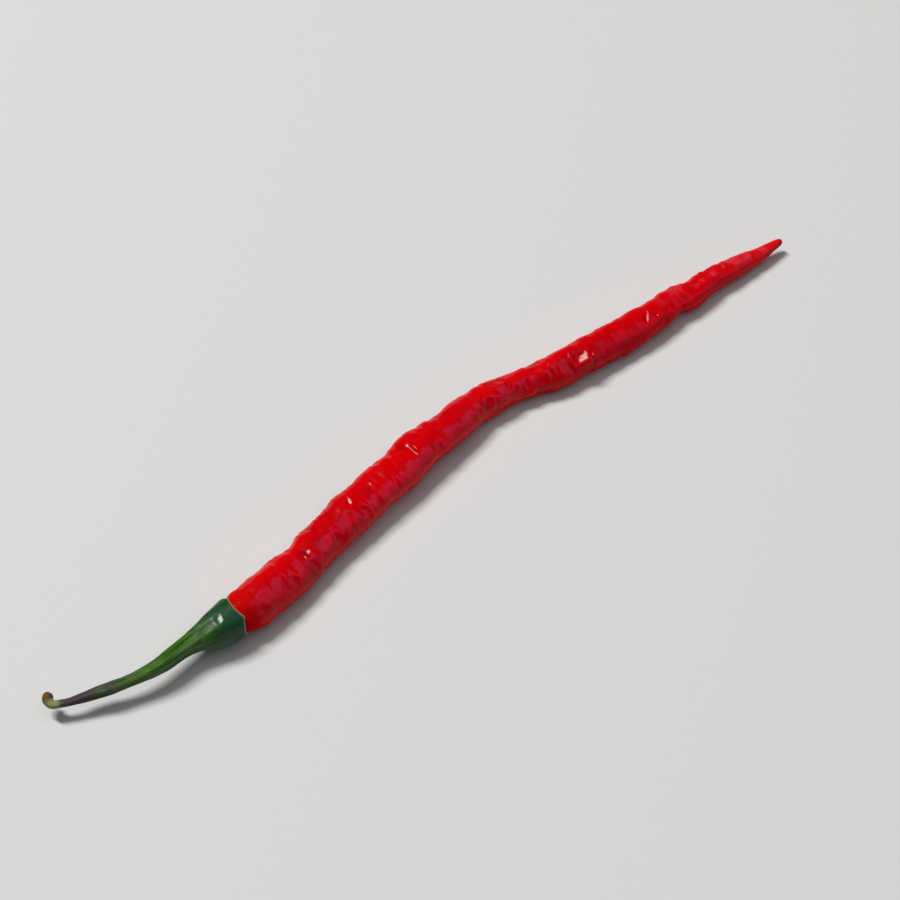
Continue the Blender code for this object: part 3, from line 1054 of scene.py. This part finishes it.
@dataclass
class Pod(Skin):
    """The red pod, with its waists, swellings, creases and fine wrinkles.

    Attributes:
        finish_with: The red finish.
        creases: The creases across it.
        wrinkles: Its pleats, folds, facets and ripples.
        lobes: Chambers that show as soft ridges along the pod.
        lobe_height: How far the ridges stand out, as part of the radius.
        lobe_twist: Degrees that the ridges turn in each mm.
        knuckle_spread: Degrees that a waist or a swelling reaches round the pod.
        full_relief_radius: Radius in mm from which the relief has its full height.
        tip_dome: How far the last point stands out, in mm.
    """

    finish_with: RedSkin = RedSkin()
    creases: Creases = Creases()
    wrinkles: Wrinkles = Wrinkles()
    lobes: int = 3
    lobe_height: float = 0.035
    lobe_twist: float = 1.3
    knuckle_spread: float = 62.0
    full_relief_radius: float = 3.0
    tip_dome: float = 0.12

    def knuckles(self, along: np.ndarray, around: np.ndarray) -> np.ndarray:
        """Height of the swellings and waists that bend the pod's outline.

        Args:
            along: Places along the pod, in mm.
            around: Angles round it.

        Returns:
            The height in mm at each place.
        """
        height = np.zeros_like(along)
        for place, degrees, swell, length in KNUCKLES:
            away = (along - place) / length
            turn = turn_between(around, math.radians(degrees)) / math.radians(self.knuckle_spread)
            height += swell * np.exp(-away**2 - turn**2)
        return height

    def build(self) -> bpy.types.Object:
        """Builds and dresses the pod.

        Returns:
            The pod.
        """
        self.stations = even_places(POD_RADII, self.step)
        mesh, ring, around = self.tube()
        along = self.stations[ring]
        base = read_knots(POD_RADII, along)
        thick = np.clip(base / self.full_relief_radius, 0.0, 1.0)
        depth = self.creases.depth(along, around) * thick
        wrinkle = self.wrinkles.height(along, around) * thick
        ridges = np.cos(self.lobes * (around - math.radians(self.lobe_twist) * along))
        radius = base * (1 + self.lobe_height * ridges)
        radius = radius + self.knuckles(along, around) * thick - depth + wrinkle
        radius = self.tighten(along, around, radius, TIGHT_FLATS)
        radius = radius + self.wrinkles.ripples.read(along, around) * thick
        places = self.line.point(along, around, radius)
        # What would reach below the surface becomes the small flats that the pod lies on
        places[:, 2] = np.maximum(places[:, 2], 0.0)
        self.close(mesh, places, self.tip_dome)
        # How deep each place lies in a crease, for the painted crease shade
        sunk = np.clip((depth - wrinkle) / self.creases.depths[1], 0.0, 1.0)
        straight = np.stack((along, np.cos(around) * base, np.sin(around) * base), axis=-1)
        values = {Mapped.STRAIGHT: straight, Mapped.ALONG: along, Mapped.CREASE_SHADE_MASK: sunk}
        return self.finish(mesh, values, self.finish_with.build())


@dataclass
class CalyxStalk(Skin):
    """The green calyx and stalk, with its ribs, its toothed rim and the socket for the pod.

    Attributes:
        finish_with: The green finish.
        teeth: Ribs of the calyx, which end as teeth.
        tooth_length: How far a tooth reaches past the rim between two teeth, in mm.
        tooth_turn: Where the first tooth stands, in degrees from the top.
        tooth_reach: How far back from the rim the teeth pull the skin, in mm.
        fine: The fine unevenness of the green skin.
        creased: Where the stalk is shrivelled, in mm along.
        creased_height: Height of its folds there, as part of the radius.
        folds: Number of those folds round the stalk.
        fold_twist: Radians that the folds turn in each mm.
        rim_thickness: Thickness of the rim, in mm.
        rim_gap: Gap between the rim and the pod, in mm.
        rim_round: How far before the rim its outside starts to turn in, in mm.
        rim_rings: Rings to each side of the rim in which its pale edge fades.
        socket: Where the socket's first and last rings are, in mm along.
        socket_rings: Number of the socket's rings.
    """

    finish_with: GreenSkin = GreenSkin()
    teeth: int = 5
    tooth_length: float = 0.8
    tooth_turn: float = -40.0
    tooth_reach: float = 4.0
    fine: Relief = Relief(0.05, 2.2, 0.35, 5.0)
    creased: Span = (-41.0, -28.0)
    creased_height: float = 0.14
    folds: int = 3
    fold_twist: float = 0.35
    rim_thickness: float = 0.5
    rim_gap: float = 0.1
    rim_round: float = 0.2
    rim_rings: float = 3.0
    socket: Span = (-0.05, -2.6)
    socket_rings: int = 14

    def outside(self, along: np.ndarray, around: np.ndarray) -> np.ndarray:
        """Radius of the calyx and the stalk outside.

        Args:
            along: Places along the line, in mm.
            around: Angles round it.

        Returns:
            The radius in mm at each place.
        """
        turn = math.radians(self.tooth_turn)
        ribs = read_knots(RIB_HEIGHTS, along) * np.cos(self.teeth * (around - turn))
        start, end = self.creased
        inside = np.clip((along - start) / (end - start), 0.0, 1.0)
        folds = np.cos(self.folds * around + self.fold_twist * along)
        folds = self.creased_height * np.sin(math.pi * inside) ** 2 * folds
        smooth = read_knots(STALK_RADII, along) * (1 + ribs + folds)
        return self.tighten(along, around, smooth + self.fine.read(along, around), CALYX_FLATS)

    def build(self) -> bpy.types.Object:
        """Builds and dresses the calyx and the stalk.

        Returns:
            The piece.
        """
        outside = even_places(STALK_RADII, self.step)
        socket = np.linspace(*self.socket, self.socket_rings)
        self.stations = np.concatenate((outside, [-self.rim_round, 0.0], socket))
        rim = len(outside) + 1
        mesh, ring, around = self.tube()
        along = self.stations[ring]
        neck = read_knots(POD_RADII, along) + self.rim_gap
        radius = np.where(ring < rim, self.outside(along, around), neck)
        radius = np.where(ring == rim, neck + self.rim_thickness / 2, radius)
        near = np.clip(1 + along / self.tooth_reach, 0.0, 1.0) ** 2
        between = np.abs(np.sin(self.teeth / 2 * (around - math.radians(self.tooth_turn))))
        shift = np.where(ring == ring.max(), 0.0, self.tooth_length * between * near)
        self.close(mesh, self.line.point(along - shift, around, radius), 0.0)
        edge = np.clip(1 - np.abs(ring - rim) / self.rim_rings, 0.0, 1.0)
        straight = np.stack((along, np.cos(around) * radius, np.sin(around) * radius), axis=-1)
        values = {Mapped.STRAIGHT: straight, Mapped.ALONG: along, Mapped.RIM: edge}
        return self.finish(mesh, values, self.finish_with.build())


@dataclass(frozen=True)
class SoftLight:
    """A soft light with straight edges that faces the pepper's middle.

    Attributes:
        name: Its name.
        place: Where it stands, in metres.
        width: Its width, in metres.
        height: Its height, in metres.
        glow: How bright its face is, where 1 is a white floor in full light.
        colour: Its colour.
        lights_floor: Whether it lights the floor.
        lights_pepper: Whether it lights the pepper.
    """

    name: str
    place: Point
    width: float
    height: float
    glow: float
    colour: Colour = (1.0, 1.0, 1.0)
    lights_floor: bool = True
    lights_pepper: bool = True

    def build(self, floor: bpy.types.Object, pieces: Sequence[bpy.types.Object]) -> None:
        """Adds the light to the scene.

        Args:
            floor: The studio's floor.
            pieces: The pepper's pieces.
        """
        data = bpy.data.lights.new(self.name, "AREA")
        data.shape = "RECTANGLE"
        data.size = self.width
        data.size_y = self.height
        data.energy = self.glow * math.pi * self.width * self.height
        data.color = self.colour
        lamp = bpy.data.objects.new(self.name, data)
        lamp.location = self.place
        lamp.rotation_mode = "QUATERNION"
        lamp.rotation_quaternion = Vector(self.place).to_track_quat("Z", "Y")
        lamp.visible_camera = False
        bpy.context.scene.collection.objects.link(lamp)
        lit = bpy.data.collections.new(f"lit_by_{self.name}")
        for piece in [floor] * self.lights_floor + [*pieces] * self.lights_pepper:
            lit.objects.link(piece)
        lamp.light_linking.receiver_collection = lit


# A key light behind the pepper, two cool cards in front of it and a soft light for the floor
WARM_WHITE: Colour = (1.0, 0.99, 0.97)
COOL_BLUE: Colour = (0.42, 0.42, 1.0)
LIGHTS = (
    SoftLight("key", (-0.60, 1.26, 2.65), width=0.32, height=0.95, glow=100.0, colour=WARM_WHITE),
    SoftLight("left_card", (0.24, -0.51, 0.44), width=0.18, height=1.04, glow=2.4,
              colour=COOL_BLUE, lights_floor=False),
    SoftLight("right_card", (0.43, -0.38, 0.44), width=0.22, height=1.04, glow=2.4,
              colour=COOL_BLUE, lights_floor=False),
    SoftLight("floor_fill", (0.0, -0.3, 1.6), width=1.8, height=1.8, glow=0.8, lights_pepper=False),
)


@dataclass
class Studio:
    """The pale floor, the soft lights and the camera.

    Attributes:
        pieces: The pepper's pieces.
        floor_width: Side of the floor, in metres.
        floor_cells: Faces along each side of the floor.
        room_colour: Colour of the room's own light.
        room_glow: Strength of the room's own light.
        camera_place: Where the photograph's camera stands, in mm.
        camera_down: How far it looks down, in degrees.
        camera_turn: How far it is turned from the pepper's +Y, in degrees.
        camera_roll: How far it leans about its view, in degrees.
        frame_width: Width of its frame, in mm.
        lens: Its focal length for that frame, in mm.
        aim: The point that it is turned to, in mm.
    """

    pieces: Sequence[bpy.types.Object]
    floor_width: float = 3.0
    floor_cells: int = 8
    room_colour: Colour = (0.9, 0.93, 1.0)
    room_glow: float = 0.05
    camera_place: Point = (-221.5, -225.2, 473.1)
    camera_down: float = 52.4
    camera_turn: float = -32.0
    camera_roll: float = -5.46
    frame_width: float = 36.0
    lens: float = 104.0
    aim: Point = (3.0, 0.0, 4.0)

    def floor(self) -> bpy.types.Object:
        """Lays the floor under the pepper.

        Returns:
            The floor.
        """
        mesh = bmesh.new()
        bmesh.ops.create_grid(mesh, x_segments=self.floor_cells, y_segments=self.floor_cells,
                              size=self.floor_width / 2)
        data = bpy.data.meshes.new("floor")
        mesh.to_mesh(data)
        mesh.free()
        data.materials.append(PaleFloor().build())
        floor = bpy.data.objects.new("floor", data)
        bpy.context.scene.collection.objects.link(floor)
        return floor

    def world(self) -> None:
        """Gives the room a weak grey light of its own."""
        world = bpy.data.worlds.new("room")
        world.use_nodes = True
        background = world.node_tree.nodes["Background"]
        background.inputs["Color"].default_value = (*self.room_colour, 1.0)
        background.inputs["Strength"].default_value = self.room_glow
        bpy.context.scene.world = world

    def camera(self) -> None:
        """Sets the camera where the photograph's stood, turned to the pepper."""
        data = bpy.data.cameras.new("camera")
        data.sensor_width = self.frame_width
        data.lens = self.lens
        camera = bpy.data.objects.new("camera", data)
        place = Vector(self.camera_place)
        tilt = math.radians(90.0 - self.camera_down)
        looking = Euler((tilt, 0.0, math.radians(self.camera_turn))).to_quaternion()
        looking = looking @ Quaternion((0, 0, 1), math.radians(self.camera_roll))
        ahead = looking @ Vector((0.0, 0.0, -1.0))
        wanted = (Vector(self.aim) - place).normalized()
        camera.location = place * MM
        camera.rotation_mode = "QUATERNION"
        camera.rotation_quaternion = ahead.rotation_difference(wanted) @ looking
        bpy.context.scene.collection.objects.link(camera)
        bpy.context.scene.camera = camera

    def build(self) -> None:
        """Builds the whole studio."""
        floor = self.floor()
        for light in LIGHTS:
            light.build(floor, self.pieces)
        self.world()
        self.camera()
        bpy.context.scene.view_settings.view_transform = "Standard"


def main() -> None:
    """Builds the pepper's pieces and the studio, and reports each piece."""
    logging.basicConfig(level=logging.INFO, format="%(name)s: %(message)s")
    line = MiddleLine(MIDDLE_POINTS)
    skins = (
        Pod("pod_skin", "pod", "pod_skin", line, sides=108, step=0.2),
        CalyxStalk("calyx_stalk_skin", "calyx_stalk", "stalk_skin", line, sides=80, step=0.25),
    )
    pieces = [skin.build() for skin in skins]
    for skin, piece in zip(skins, pieces):
        skin.report(piece)
    Studio(pieces).build()


if __name__ == "__main__":
    main()
